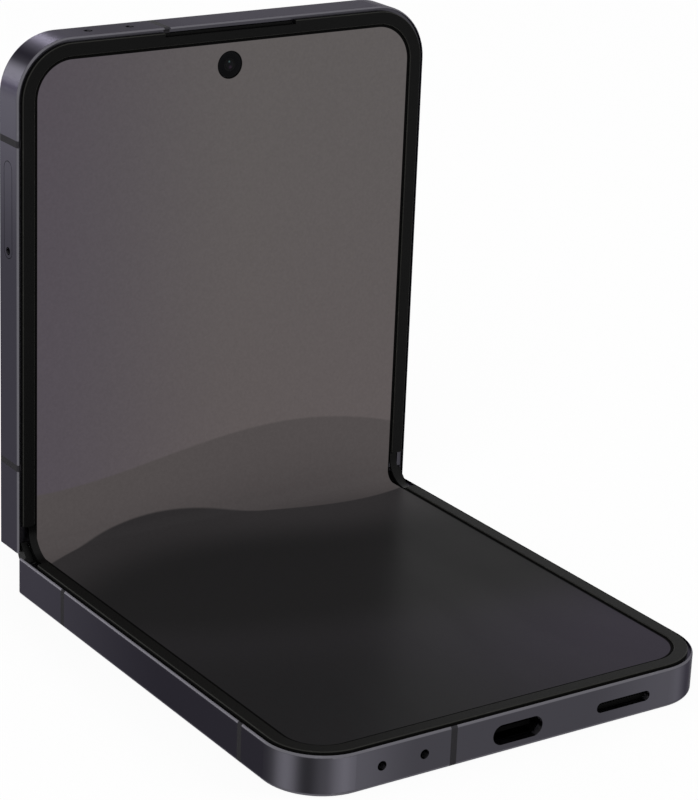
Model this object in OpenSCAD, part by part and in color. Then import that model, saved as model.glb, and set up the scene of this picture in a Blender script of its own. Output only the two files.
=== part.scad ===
/* [Phone] */
// Width across both long sides
phone_w = 75.2; // [62:0.1:90]
// Length of one half, from the fold line to its free end
half_l = 83.35; // [68:0.05:100]
// Thickness of one half, without the raised rim
phone_t = 6.5; // [5.6:0.1:7.8]
// Radius of the outer corners
corner_r = 9.4; // [7.5:0.1:11]
// Rounding along the back edges
back_edge_r = 0.7; // [0.3:0.05:0.8]
// Rounding of the frame's edge beside the screen
front_edge_r = 0.5; // [0.3:0.05:0.6]
// Angle between the two halves as shown, 180 when flat
opening_angle = 90; // [60:5:150]

/* [Fold] */
// Height of the fold axis over the screen plane
axis_lift = 0.4; // [0.35:0.05:0.5]
// Half of the gap between the two halves when flat
end_gap = 0.05; // [0.04:0.01:0.1]
// Outer radius of the spine cover about the fold axis
spine_r = 4.6; // [4.5:0.05:4.8]
// Half length of the spine cover
spine_x = 34.6; // [30:0.1:42]
// Distance of each hinge module from the middle
module_x = 21; // [17:0.5:24]
// Pitch radius of the gears that keep the halves in step
gear_r = 0.73; // [0.7:0.01:0.75]
// Distance from the fold line at which the raised rims stop
rim_start = 4.5; // [4:0.1:6]

/* [Screen] */
// Height of the raised rim over the screen
rim_h = 0.25; // [0.15:0.05:0.3]
// Width of the raised rim
rim_w = 2.1; // [1.7:0.1:2.4]
// Gap between the frame lip and the rim
groove_w = 0.55; // [0.45:0.05:0.65]
// Thickness of the folding screen
screen_t = 0.65; // [0.5:0.05:0.7]
// Distance of the front camera from the free end
front_camera_end = 6.95; // [6.5:0.05:9]
// Radius of the camera hole in the screen
camera_hole_r = 2.15; // [1.6:0.05:2.4]

/* [Ports] */
// Width of the charging port opening
usb_w = 8.9; // [8.9:0.1:9.2]
// Height of the charging port opening
usb_h = 3.2; // [3.1:0.1:3.4]
// Place of the loudspeaker slot across the front edge
speaker_x = 19.5; // [16:0.5:22]
// Length of the loudspeaker slot
speaker_l = 10; // [8:0.5:12]
// Diameter of the microphone holes
mic_d = 1.5; // [1:0.1:1.8]
// Distance of the card tray's middle from the free end
tray_end = 26.9; // [25:0.05:28]
// Length of the card tray head
tray_l = 15.5; // [14.5:0.1:17]
// Height of the card tray head
tray_h = 2.5; // [2.2:0.1:2.7]
// Running gap round the tray and the side keys
slide_gap = 0.1; // [0.08:0.01:0.15]

/* [Hidden] */

hw = phone_w / 2;
fine = 48;
smooth = 96;

// Depths below the screen plane at which the layers end
support_d = screen_t;
plate_d = support_d + 0.2;
inside_d = plate_d + 0.8;
cover_d = phone_t - 0.65;

// Frame section, measured inward from the outer side
lip_w = 0.25;
lip_d = front_edge_r - sqrt(front_edge_r * front_edge_r - pow(front_edge_r - lip_w, 2));
ledge_d = 0.45;
rim_n = lip_w + groove_w;
panel_n = rim_n + 0.45;
cover_n = 1;
wall_n = 2;
end_edge_r = 0.8;
rim_end_r = 0.5;
cross = 0.02;
plate_gap = 0.05;

// Hinge, measured about the fold axis
cavity_r = spine_r + 0.15;
cavity_x = spine_x + 0.2;
spine_top = -axis_lift - plate_d - 0.25;
cover_wall = 0.35;
bracket_r = spine_r - cover_wall - 0.02;
rail_in = 3.2;
rail_out = 3.9;
rail_gap = 0.05;
rail_x0 = 3.4;
rail_x1 = 6.6;
rail_end = 32;
exit_z = spine_top - 1.25;
exit_y = 2.85;
module_half = 7.3;
arm_x0 = 0.75;
arm_x1 = 2.25;
arm_t = 0.7;
cheek_x = 2.6;
cheek_end = 3.25;
gear_w = 1.2;
gear_teeth = 8;
tooth_tip = 0.12;
tooth_root = 0.17;
shaft_r = 0.3;
shaft_gap = 0.03;
shaft_y = 3 * gear_r;
shaft_z = spine_top - gear_r - tooth_tip - 0.06;
hub_r = 0.8;
pin_r = 0.4;
pin_gap = 0.08;
pin_y = 8.2;
pin_z = -1.55;
hinge_end_u = 5.2;
pocket_u = 12.8;
pocket_z = -5.65;
block_u = 5.3;
block_gap = 0.2;
wing_t = 0.15;
wing_x = hw - 4.6;
ear_r = 1.85;
ear_gap = 0.1;
ear_x0 = hw - 1.75;
ear_x1 = hw - 0.7;
ear_top = 0.5;
ear_neck = -1.2;
centre_x = 13;
flex_x = [5, 11];
flex_z = -2.2;
flex_t = 0.2;

// Where the folding screen bends
fold_turn = 180 - opening_angle;
half_tan = tan(fold_turn / 2);
fold_u = 4.6;
bend_r = 2 * axis_lift * half_tan / (2 * half_tan - fold_turn * PI / 180);
border_in = hw - 3.15;
border_out = hw - 1.85;
border_up = 0.1;
border_t = 0.35;

// Ports, keys and bands along the edges
port_d = 3.5;
side_d = 3.2;
mic_x = [16.5, 23.8];
key_h = 1.9;
key_out = 0.25;
key_travel = 0.3;
volume_u = half_l - 28;
volume_l = 18;
power_u = half_l - 46.5;
power_l = 11;
band_w = 1.1;
band_depth = 0.9;
band_u = [14.6, half_l - 15.85];
band_x = 11.45;
notch_x = 12;
notch_w = 0.65;
tray_u = half_l - tray_end;
tray_depth = 17;
tray_bed = 0.8;
eject_d = 1.3;

// Cameras of the upper half
front_camera_u = half_l - front_camera_end;
rear_u = half_l - 10.85;
main_x = 27;
wide_x = 13.5;
rear_r = 4.6;
ring_h = 1.1;
ring_w = 0.8;
flash_x = 4;
flash_r = 1.5;
front_r = 1.95;

// Parts inside the halves
speaker_h = 1.65;
mesh_n = 9;
mesh_step = 0.5;
mesh_r = 0.16;
usb_depth = 8.5;
usb_recess = 1.2;
battery_x = hw - 4;
lower_battery_u = half_l - 25;
upper_battery_u = half_l - 43;
coil_t = 0.25;
coil_r = (lower_battery_u - pocket_u) / 2 - 2.775;
coil_inner_r = 9;
battery_z0 = -axis_lift - cover_d + coil_t + 0.05;
battery_z1 = flex_z - flex_t / 2 - 0.15;
board_x = hw - 3.6;
board_t = 0.6;
board_z = -axis_lift - port_d - usb_h / 2 - board_t;
upper_board_z = -axis_lift - cover_d + 0.5;
key_flange = 0.5;

axis_y = (half_l - end_gap) / 2 + end_gap;
axis_z = phone_t + axis_lift;

function zf(d) = -axis_lift - d;

// A half is drawn with the fold axis along x at the origin, y toward its free end and
// z toward the screen side; these place a half, or the spine, in the phone's frame.
module in_lower() {
    translate([0, axis_y, axis_z]) rotate([0, 0, 180]) children();
}
module in_upper() {
    translate([0, axis_y, axis_z]) rotate([fold_turn, 0, 0]) children();
}
module in_spine() {
    translate([0, axis_y, axis_z]) rotate([fold_turn / 2, 0, 0]) children();
}

// Plain building shapes
module slab(x0, x1, y0, y1, z0, z1) {
    translate([x0, y0, z0]) cube([x1 - x0, y1 - y0, z1 - z0]);
}
module rod_x(x0, x1, y, z, r, n = fine) {
    translate([x0, y, z]) rotate([0, 90, 0]) cylinder(r = r, h = x1 - x0, $fn = n);
}
module rod_y(x, y0, y1, z, r) {
    translate([x, y1, z]) rotate([90, 0, 0]) cylinder(r = r, h = y1 - y0, $fn = fine);
}
module rod_z(x, y, z0, z1, r) {
    translate([x, y, z0]) cylinder(r = r, h = z1 - z0, $fn = fine);
}
module pair_x() {
    children();
    mirror([1, 0, 0]) children();
}
module at_modules() {
    for (s = [-1, 1]) translate([s * module_x, 0, 0]) children();
}
// Extrudes a drawing made across the fold (its x is y, its y is z) along x
module across(x0, x1) {
    translate([x0, 0, 0]) rotate([90, 0, 90]) linear_extrude(x1 - x0) children();
}
// Bar with round ends, in the plane of a side wall (x is y) or of the end wall
module stadium(l, h) {
    square([l - h, h], center = true);
    for (s = [-1, 1]) translate([s * (l - h) / 2, 0]) circle(d = h, $fn = fine);
}
module side_bar(x0, x1, u, d, l, h) {
    translate([x0, u, zf(d)]) rotate([90, 0, 90]) linear_extrude(x1 - x0) stadium(l, h);
}
module end_bar(u0, u1, x, d, l, h) {
    translate([x, u1, zf(d)]) rotate([90, 0, 0]) linear_extrude(u1 - u0) stadium(l, h);
}

// Outline of a half, n inside its edge, from u0 to the free end
module half_outline(n, u0) {
    r = corner_r - n;
    w = hw - n;
    u1 = half_l - n;
    translate([-w, u0]) square([2 * w, u1 - r - u0]);
    translate([-(w - r), u0]) square([2 * (w - r), u1 - u0]);
    for (s = [-1, 1]) translate([s * (w - r), u1 - r]) circle(r = r, $fn = smooth);
}
module half_plate(n, u0, d0, d1) {
    translate([0, 0, zf(d1)]) linear_extrude(d1 - d0) half_outline(n, u0);
}
// Sweeps a section along the sides, the corners and the free end of a half; its x is 0
// at the outer side and grows outward
module edge_sweep(u0) {
    pair_x() {
        translate([hw, half_l - corner_r, 0]) rotate([90, 0, 0])
            linear_extrude(half_l - corner_r - u0) children();
        translate([hw - corner_r, half_l - corner_r, 0])
            rotate_extrude(angle = 90, $fn = smooth) translate([corner_r, 0]) children();
    }
    translate([-(hw - corner_r), half_l, 0]) rotate([90, 0, 90])
        linear_extrude(2 * (hw - corner_r)) children();
}
module frame_section() {
    polygon([[0, zf(front_edge_r)], [-lip_w, zf(lip_d)],
        [-lip_w, zf(ledge_d)], [-panel_n, zf(ledge_d)], [-panel_n, zf(plate_d)],
        [-wall_n, zf(plate_d)], [-wall_n, zf(cover_d)], [-cover_n, zf(cover_d)],
        [-cover_n, zf(phone_t)], [-back_edge_r, zf(phone_t)],
        [0, zf(phone_t - back_edge_r)]]);
    translate([-front_edge_r, zf(front_edge_r)]) intersection() {
        circle(r = front_edge_r, $fn = fine);
        translate([front_edge_r - lip_w, 0]) square([lip_w, front_edge_r]);
    }
    translate([-back_edge_r, zf(phone_t)]) intersection() {
        translate([0, back_edge_r]) circle(r = back_edge_r, $fn = fine);
        square(back_edge_r);
    }
}
module rim_section() {
    top = rim_h - axis_lift;
    bevel = 0.12;
    skirt_n = panel_n - plate_gap;
    polygon([[-rim_n, zf(ledge_d)], [-rim_n, top - bevel], [-rim_n - bevel, top],
        [-rim_n - rim_w + bevel, top], [-rim_n - rim_w, top - bevel],
        [-rim_n - rim_w, zf(0)], [-skirt_n, zf(0)], [-skirt_n, zf(ledge_d)]]);
}

// Rounds the back edge at the hinge end; the arc runs a little past both faces
module end_edge_cut() {
    across(-hw - 1, hw + 1) translate([end_gap + end_edge_r - cross, zf(phone_t) + end_edge_r - cross])
        difference() {
            translate([-2 * end_edge_r, -2 * end_edge_r]) square(2 * end_edge_r);
            circle(r = end_edge_r, $fn = fine);
        }
}
// Frame of a half: edge wall, middle plate, and the hinge end with the spine's cavity
module half_frame() {
    difference() {
        union() {
            edge_sweep(end_gap) frame_section();
            half_plate(wall_n - 0.1, end_gap, plate_d, inside_d);
            slab(-hw + cover_n + 0.2, hw - cover_n - 0.2, end_gap, hinge_end_u,
                zf(cover_d), zf(plate_d));
            slab(-hw + cover_n - 0.1, hw - cover_n + 0.1, end_gap, 2.15,
                zf(phone_t), zf(cover_d) + 0.1);
            at_modules() slab(-module_half - 0.8, module_half + 0.8, end_gap,
                pocket_u + 0.8, zf(cover_d), zf(plate_d));
        }
        end_edge_cut();
        rod_x(-cavity_x, cavity_x, 0, 0, cavity_r, smooth);
        rod_x(-ear_x1 - ear_gap, ear_x1 + ear_gap, 0, 0, ear_r + ear_gap);
        slab(-wing_x - 0.1, wing_x + 0.1, 0, pocket_u, zf(plate_d) - wing_t, 1);
        at_modules() slab(-module_half, module_half, 0, pocket_u, pocket_z, 0);
        at_modules() rod_z(rail_x1 - 1.6, pocket_u - 1.5, -10, 0, 0.55);
        pair_x() slab(flex_x[0] - 0.2, flex_x[1] + 0.2, 0, pocket_u + 2,
            flex_z - 0.5, zf(plate_d) - wing_t);
    }
}
// Antenna bands: cuts through the outer part of the edge wall, and what fills them
module band_cuts(x, out) {
    z0 = zf(phone_t) - out;
    for (u = band_u) {
        pair_x() slab(hw - band_depth, hw + out, u - band_w / 2, u + band_w / 2, z0, out);
    }
    slab(x - band_w / 2, x + band_w / 2, half_l - band_depth, half_l + out, z0, out);
}
module band_pieces(x) {
    intersection() {
        band_cuts(x, 0.5);
        edge_sweep(end_gap) frame_section();
    }
}
// Rounds both corners of a rim's end, as seen from above the screen
module rim_end_cut() {
    c = rim_w / 2 - rim_end_r + cross;
    translate([hw - rim_n - rim_w / 2, rim_start + rim_end_r - cross, -2]) linear_extrude(3) difference() {
        translate([-rim_w, -2 * rim_end_r]) square([2 * rim_w, 2 * rim_end_r]);
        translate([-c, -3 * rim_end_r]) square([2 * c, 4 * rim_end_r]);
        for (s = [-1, 1]) translate([s * c, 0]) circle(r = rim_end_r, $fn = fine);
    }
}
module rim() {
    difference() {
        edge_sweep(rim_start) rim_section();
        pair_x() rim_end_cut();
    }
}
module cover_plate() {
    half_plate(cover_n + plate_gap, 2.2, cover_d, phone_t);
}
module screen_panel(u0) {
    half_plate(panel_n + plate_gap, u0, 0, support_d);
}
module support_sheet() {
    half_plate(panel_n + plate_gap, fold_u, support_d, plate_d);
}
module wing_plate() {
    slab(-wing_x, wing_x, 1, pocket_u - 0.1, zf(plate_d) - wing_t, zf(plate_d));
}

// The arm's pin stays this far from the fold axis's copy, on an arc of a quarter turn
shaft_far = sqrt(shaft_y * shaft_y + shaft_z * shaft_z);
shaft_dir = atan2(shaft_z, shaft_y);
module pin_slot() {
    half = pin_r + pin_gap;
    across(rail_x0 - 2, rail_x1 + 1) translate([pin_y, pin_z]) {
        difference() {
            circle(r = shaft_far + half, $fn = smooth);
            circle(r = shaft_far - half, $fn = smooth);
            rotate(shaft_dir) translate([-10, 0]) square([20, 10]);
            rotate(shaft_dir) translate([-10, -10]) square([10, 20]);
        }
        for (a = [shaft_dir, shaft_dir - 90]) rotate(a) translate([shaft_far, 0])
            circle(r = half, $fn = fine);
    }
}
// Rotator: a block fixed in the half, with an arc rail that slides in the spine's
// bracket about the fold axis, and the curved slot for the arm's pin
module rotator() {
    difference() {
        union() {
            slab(rail_x0 - 1, rail_x1, block_u, pocket_u - block_gap, pocket_z,
                zf(inside_d) + 0.15);
            slab(rail_x0, rail_x1, 2.95, block_u + 0.1, exit_z + 0.35, spine_top - 0.03);
            across(rail_x0, rail_x1) rail_outline();
        }
        pin_slot();
        rod_z(rail_x1 - 1.6, pocket_u - 1.5, -10, 0, 0.4);
    }
}
module rail_outline() {
    difference() {
        circle(r = rail_out, $fn = smooth);
        circle(r = rail_in, $fn = smooth);
        translate([-5, spine_top - 0.03]) square([10, 10]);
        translate([-5, -rail_in * sin(rail_end)]) square([5, 10]);
        translate([2.96, -10]) square([5, 20]);
    }
}
module rotators() {
    at_modules() rotator();
}

// Gear with straight-sided teeth, the first one pointing at turn
module gear_outline(turn) {
    tip = gear_r + tooth_tip;
    root = gear_r - tooth_root;
    circle(r = root, $fn = fine);
    for (k = [0 : gear_teeth - 1]) rotate(turn + k * 360 / gear_teeth)
        polygon([[root - 0.1, -0.15], [root, -0.15], [tip, -0.06], [tip, 0.06],
            [root, 0.15], [root - 0.1, 0.15]]);
}
module gear(turn) {
    across(-gear_w / 2, gear_w / 2) difference() {
        gear_outline(turn);
        circle(r = shaft_r, $fn = fine);
    }
}
// Arm across the fold: hub, cranked neck over the cover's edge, and the pin's eye
module arm_outline() {
    neck = [5 - shaft_y, 0.33];
    difference() {
        union() {
            circle(r = hub_r, $fn = fine);
            hull() {
                translate([0.2, 0.2]) circle(r = 0.45, $fn = 32);
                translate(neck) circle(r = arm_t / 2, $fn = 32);
            }
            hull() {
                translate(neck) circle(r = arm_t / 2, $fn = 32);
                translate([pin_y, pin_z]) circle(r = arm_t, $fn = 32);
            }
        }
        circle(r = shaft_r, $fn = fine);
    }
}
// Arm with its gear and pin, drawn about its own shaft
module sync_arm(turn) {
    across(arm_x0, arm_x1) arm_outline();
    gear(turn);
    across(gear_w / 2, arm_x0) difference() {
        circle(r = gear_r - tooth_root, $fn = fine);
        circle(r = shaft_r, $fn = fine);
    }
    rod_x(arm_x1 - 0.1, rail_x1 - 0.4, pin_y, pin_z, pin_r);
}
// Everything on an arm's shaft turns with the arm's half; step 3 is the arm's own
// shaft and step 1 the idler beside the middle, which turns the other way
module on_shaft(side, step) {
    turn = (step == 3 ? 1 : -1) * fold_turn / 2;
    in_spine() rotate([0, 0, side > 0 ? 0 : 180]) at_modules()
        translate([0, step * gear_r, shaft_z]) rotate([turn, 0, 0]) children();
}
module shaft() {
    rod_x(-cheek_end, cheek_end, 0, 0, shaft_r);
}
module idler(turn) {
    gear(turn);
    rod_x(-cheek_end, cheek_end, 0, 0, shaft_r);
}

// Section of the spine below a top line, r about the fold axis
module spine_section(r, top) {
    difference() {
        circle(r = r, $fn = smooth);
        translate([-r - 1, top]) square([2 * r + 2, 2 * r + 2]);
    }
}
module spine_cover() {
    color("#2a2a2f") in_spine() difference() {
        across(-spine_x, spine_x) difference() {
            spine_section(spine_r, spine_top - 0.05);
            circle(r = spine_r - cover_wall, $fn = smooth);
        }
        at_modules() {
            slab(arm_x0 - 0.3, rail_x1 + 0.3, 2, spine_r + 1, exit_z, 0);
            slab(-rail_x1 - 0.3, 0.3 - arm_x0, -spine_r - 1, -2, exit_z, 0);
        }
        pair_x() slab(flex_x[0] - 0.2, flex_x[1] + 0.2, -spine_r - 1, spine_r + 1, exit_z, 0);
    }
}
module spine_end_caps() {
    color("#141416") in_spine() pair_x() {
        across(spine_x - 1.2, spine_x) spine_section(bracket_r, spine_top);
        difference() {
            rod_x(spine_x - 0.8, ear_x1, 0, 0, ear_r);
            slab(0, ear_x0, -3, 3, ear_neck, 3);
            slab(0, hw, -3, 3, ear_top, 3);
        }
    }
}
module bracket() {
    difference() {
        across(-module_half, module_half) spine_section(bracket_r, spine_top);
        slab(-cheek_x, cheek_x, -5, 5, shaft_z - hub_r - 0.15, 0);
        for (k = [-3, -1, 1, 3])
            rod_x(-cheek_end - 0.02, cheek_end + 0.02, k * gear_r, shaft_z, shaft_r + shaft_gap);
        for (s = [0, 180]) rotate([0, 0, s]) {
            across(rail_x0 - rail_gap, rail_x1 + rail_gap) difference() {
                circle(r = rail_out + rail_gap, $fn = smooth);
                circle(r = rail_in - rail_gap, $fn = smooth);
            }
            slab(rail_x0 - rail_gap, rail_x1 + rail_gap, exit_y, 5, exit_z, 0);
        }
    }
}
module hinge_brackets() {
    color("#6f7176") in_spine() {
        at_modules() bracket();
        across(-centre_x, centre_x) spine_section(bracket_r, flex_z - 1.2);
    }
}
// Dished washers that press each shaft's collar, opposite the arm
module disc_springs() {
    color("#b9bbc0") in_spine() for (s = [0, 180]) rotate([0, 0, s]) at_modules()
        for (k = [0 : 3]) translate([-1.1 - 0.38 * k, shaft_y, shaft_z]) rotate([0, 90, 0])
            difference() {
                cylinder(r = 0.75, h = 0.22, $fn = fine);
                translate([0, 0, -1]) cylinder(r = shaft_r + 0.06, h = 3, $fn = fine);
            }
}

// Sheet across the fold, about the fold axis: its screen-side face is h from the axis,
// it is bent about radius r and runs straight up to u1 in each half
module bent_strip(h, t, r, u1, x0, x1) {
    u0 = (r - h) * half_tan;
    translate([x0, axis_y, axis_z]) rotate([90, 0, 90]) {
        translate([-u1, -h - t, 0]) cube([u1 - u0, t, x1 - x0]);
        translate([-u0, r - h, 0]) rotate([0, 0, -90])
            rotate_extrude(angle = fold_turn, $fn = smooth) translate([r, 0]) square([t, x1 - x0]);
        rotate([0, 0, fold_turn]) translate([u0, -h - t, 0]) cube([u1 - u0, t, x1 - x0]);
    }
}
module display_fold() {
    color("#1c1c20")
        bent_strip(axis_lift, screen_t, bend_r, fold_u, 0.1 - border_in, border_in - 0.1);
}
module fold_borders() {
    h = axis_lift - border_up;
    r = h + (rim_start - 0.35) / half_tan;
    color("#101012") pair_x()
        bent_strip(h, border_t, r, rim_start - 0.05, border_in, border_out);
}
// Ribbon cables: bent about the fold axis itself, under the screen
module flex_cables() {
    r = -flex_z;
    color("#8a5a2b") in_spine() pair_x() across(flex_x[0], flex_x[1]) {
        intersection() {
            difference() {
                circle(r = r + flex_t / 2, $fn = smooth);
                circle(r = r - flex_t / 2, $fn = smooth);
            }
            polygon([[0, 0], [-10 * half_tan, -10], [10 * half_tan, -10]]);
        }
        for (m = [0, 1]) mirror([m, 0]) rotate(fold_turn / 2)
            translate([-0.01, flex_z - flex_t / 2]) square([pocket_u + 1, flex_t]);
    }
}

module lower_frame() {
    color("#43434a") in_lower() difference() {
        half_frame();
        band_cuts(band_x, 0.5);
        end_bar(half_l - wall_n - 0.5, half_l - usb_recess + 0.1, 0, port_d, usb_w + 0.2, usb_h + 0.2);
        end_bar(half_l - wall_n - 0.5, half_l + 1, 0, port_d, usb_w, usb_h);
        end_bar(half_l - wall_n - 0.5, half_l + 1, -speaker_x, port_d, speaker_l, speaker_h);
        for (x = mic_x) rod_y(x, half_l - wall_n - 0.5, half_l + 1, zf(side_d), mic_d / 2);
    }
}
module lower_back_cover() {
    color("#2e2e34") in_lower() cover_plate();
}
module lower_rim() {
    color("#17171a") in_lower() rim();
}
module lower_antenna_bands() {
    color("#36363d") in_lower() band_pieces(band_x);
}
module lower_display() {
    color("#3a3638") in_lower() screen_panel(fold_u);
}
module lower_support_plate() {
    color("#8d8f94") in_lower() support_sheet();
}
module lower_wing_plate() {
    color("#9a9ca1") in_lower() wing_plate();
}
module lower_rotators() {
    color("#7d7f85") in_lower() rotators();
}
module lower_battery() {
    color("#3b3d42") in_lower() slab(-battery_x, battery_x, pocket_u + 2.5, lower_battery_u,
        battery_z0, battery_z1);
}
module board_plate(u0, z) {
    translate([0, 0, z]) linear_extrude(board_t) half_outline(hw - board_x, u0);
}
module sub_board() {
    color("#1f4a34") in_lower() difference() {
        board_plate(lower_battery_u + 1.5, board_z);
        for (s = [-1, 1]) rod_z(s * (board_x - 2), lower_battery_u + 4, -10, 0, 0.8);
    }
}
module usb_shell() {
    color("#a7a9ae") in_lower() difference() {
        end_bar(half_l - usb_depth, half_l - usb_recess, 0, port_d, usb_w, usb_h);
        end_bar(half_l - usb_depth + 0.3, half_l + 1, 0, port_d, usb_w - 0.6, usb_h - 0.6);
    }
}
module usb_tongue() {
    color("#1b1b1d") in_lower() slab(-3.3, 3.3, half_l - usb_depth + 0.3, half_l - 1.6,
        zf(port_d) - 0.35, zf(port_d) + 0.35);
}
module loudspeaker() {
    color("#2b2b2d") in_lower() {
        slab(-speaker_x - 9, -speaker_x + 8, half_l - 17, half_l - wall_n - 0.2,
            board_z + board_t, zf(inside_d) - 0.1);
    }
}
module speaker_mesh() {
    color("#1a1a1c") in_lower() difference() {
        end_bar(half_l - 1.35, half_l - 1.1, -speaker_x, port_d, speaker_l, speaker_h);
        for (k = [-mesh_n : mesh_n])
            rod_y(-speaker_x + k * mesh_step, half_l - 2, half_l, zf(port_d), mesh_r);
    }
}
module microphones() {
    color("#c9a94f") in_lower() for (x = mic_x)
        slab(x - 1.7, x + 1.7, half_l - wall_n - 3.1, half_l - wall_n - 0.3,
            board_z + board_t, zf(side_d) + 1);
}
module vibration_motor() {
    color("#9c9ea3") in_lower() slab(20, 31, lower_battery_u + 6.5, lower_battery_u + 15,
        board_z + board_t, zf(inside_d) - 0.3);
}
module charging_coil() {
    color("#8e5a33") in_lower() translate([0, (pocket_u + lower_battery_u) / 2, zf(cover_d)])
        difference() {
            cylinder(r = coil_r, h = coil_t, $fn = smooth);
            translate([0, 0, -1]) cylinder(r = coil_inner_r, h = 3, $fn = smooth);
        }
}
// Countersunk screws from the back into the rotators
module hinge_screws() {
    at_modules() {
        rod_z(rail_x1 - 1.6, pocket_u - 1.5, zf(cover_d) + 0.05, -3, 0.4);
    }
}
module lower_screws() {
    color("#b4b6ba") in_lower() {
        hinge_screws();
        for (s = [-1, 1]) rod_z(s * (board_x - 2), lower_battery_u + 4, board_z - 0.05, zf(inside_d), 0.7);
    }
}

module lower_sync_arms() {
    color("#86888d") on_shaft(-1, 3) sync_arm(180 / gear_teeth);
}
module lower_hinge_shafts() {
    color("#c4c6ca") on_shaft(-1, 3) shaft();
}
module lower_idlers() {
    color("#97999e") on_shaft(-1, 1) idler(0);
}
module upper_sync_arms() {
    color("#86888d") on_shaft(1, 3) sync_arm(0);
}
module upper_hinge_shafts() {
    color("#c4c6ca") on_shaft(1, 3) shaft();
}
module upper_idlers() {
    color("#97999e") on_shaft(1, 1) idler(180 / gear_teeth);
}

// Slots through the side wall for the two keys and the card tray
module key_slot(u, l) {
    side_bar(hw - wall_n - 0.5, hw + 1, u, side_d, l + 2 * slide_gap, key_h + 2 * slide_gap);
}
module upper_frame() {
    color("#43434a") in_upper() difference() {
        half_frame();
        band_cuts(-band_x, 0.5);
        key_slot(volume_u, volume_l);
        key_slot(power_u, power_l);
        side_bar(-hw - 1, -hw + wall_n + 0.5, tray_u, side_d, tray_l + 2 * slide_gap, tray_h + 2 * slide_gap);
        for (x = mic_x) rod_y(-x, half_l - wall_n - 0.5, half_l + 1, zf(side_d), mic_d / 2 - 0.05);
        rod_z(0, front_camera_u, -5, 1, front_r + 0.1);
        for (x = [main_x, wide_x]) rod_z(x, rear_u, zf(inside_d) - 1, 0, rear_r - 1);
        slab(-notch_x - 0.1, notch_x + 0.1, half_l - rim_n - notch_w, half_l - rim_n, zf(plate_d), 0);
        slab(-5, 5, half_l - rim_n - notch_w, half_l - rim_n, zf(inside_d) - 1, 0);
    }
}
module cover_glass() {
    color("#202024") in_upper() difference() {
        cover_plate();
        for (x = [main_x, wide_x]) rod_z(x, rear_u, -10, 0, rear_r + plate_gap);
        rod_z(flash_x, rear_u, -10, 0, flash_r + plate_gap);
    }
}
module cover_display() {
    color("#101014") in_upper() difference() {
        half_plate(hw - board_x, pocket_u + 2.5, cover_d - 0.45, cover_d);
        slab(-1, hw, rear_u - rear_r - 1.5, half_l, -10, 0);
    }
}
module upper_rim() {
    color("#17171a") in_upper() difference() {
        rim();
        slab(-notch_x, notch_x, half_l - rim_n - notch_w, half_l, -2, 1);
    }
}
module upper_antenna_bands() {
    color("#36363d") in_upper() band_pieces(-band_x);
}
module upper_display() {
    color("#57525a") in_upper() difference() {
        screen_panel(fold_u);
        rod_z(0, front_camera_u, -5, 1, camera_hole_r);
        slab(-notch_x, notch_x, half_l - rim_n - notch_w, half_l, -5, 1);
    }
}
module upper_support_plate() {
    color("#8d8f94") in_upper() difference() {
        support_sheet();
        rod_z(0, front_camera_u, -5, 1, camera_hole_r);
        slab(-notch_x, notch_x, half_l - rim_n - notch_w, half_l, -5, 1);
    }
}
module upper_wing_plate() {
    color("#9a9ca1") in_upper() wing_plate();
}
module upper_rotators() {
    color("#7d7f85") in_upper() rotators();
}
module upper_battery() {
    color("#3b3d42") in_upper() slab(-battery_x, battery_x, pocket_u + 2.5, upper_battery_u,
        upper_board_z, battery_z1);
}
module rear_camera_clearance() {
    for (x = [main_x, wide_x]) rod_z(x, rear_u, -10, 0, rear_r + 0.4);
}
module main_board() {
    color("#1f4a34") in_upper() difference() {
        board_plate(upper_battery_u + 1.5, upper_board_z);
        rear_camera_clearance();
        rod_z(flash_x, rear_u, -10, 0, flash_r + 0.3);
    }
}
module board_shields() {
    color("#b0b2b6") in_upper() slab(-12, board_x - 5, upper_battery_u + 3, rear_u - rear_r - 2,
        upper_board_z + board_t, zf(inside_d) - 0.3);
}
module earpiece() {
    color("#2b2b2d") in_upper() slab(-7, 7, front_camera_u + 2.3, half_l - wall_n - 0.3,
        upper_board_z + board_t, zf(inside_d) - 0.05);
}
module earpiece_mesh() {
    color("#1a1a1c") in_upper() slab(-notch_x + 0.3, notch_x - 0.3, half_l - rim_n - notch_w + 0.05,
        half_l - rim_n - 0.15, zf(ledge_d) - 0.05, zf(ledge_d) + 0.15);
}
module front_camera() {
    color("#0d0d10") in_upper() {
        slab(-2.6, 2.6, front_camera_u - 2.6, front_camera_u + 2.1, upper_board_z + board_t,
            zf(inside_d) - 0.05);
        rod_z(0, front_camera_u, zf(inside_d) - 0.1, zf(0.1), front_r);
    }
}
module main_camera() {
    color("#1c1c20") in_upper() rod_z(main_x, rear_u, zf(cover_d) + 0.05, zf(inside_d) - 0.1, rear_r);
}
module wide_camera() {
    color("#1c1c20") in_upper() rod_z(wide_x, rear_u, zf(cover_d) + 0.05, zf(inside_d) - 0.1, rear_r);
}
module camera_rings() {
    color("#55555c") in_upper() for (x = [main_x, wide_x]) difference() {
        rod_z(x, rear_u, zf(phone_t) - ring_h, zf(cover_d) + 0.05, rear_r);
        rod_z(x, rear_u, -20, 0, rear_r - ring_w);
    }
}
module camera_windows() {
    color("#08080a") in_upper() for (x = [main_x, wide_x])
        rod_z(x, rear_u, zf(phone_t) - ring_h + 0.15, zf(cover_d) + 0.05, rear_r - ring_w);
}
module flash_lens() {
    color("#efe6cf") in_upper() rod_z(flash_x, rear_u, zf(phone_t), zf(cover_d), flash_r);
}
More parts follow.
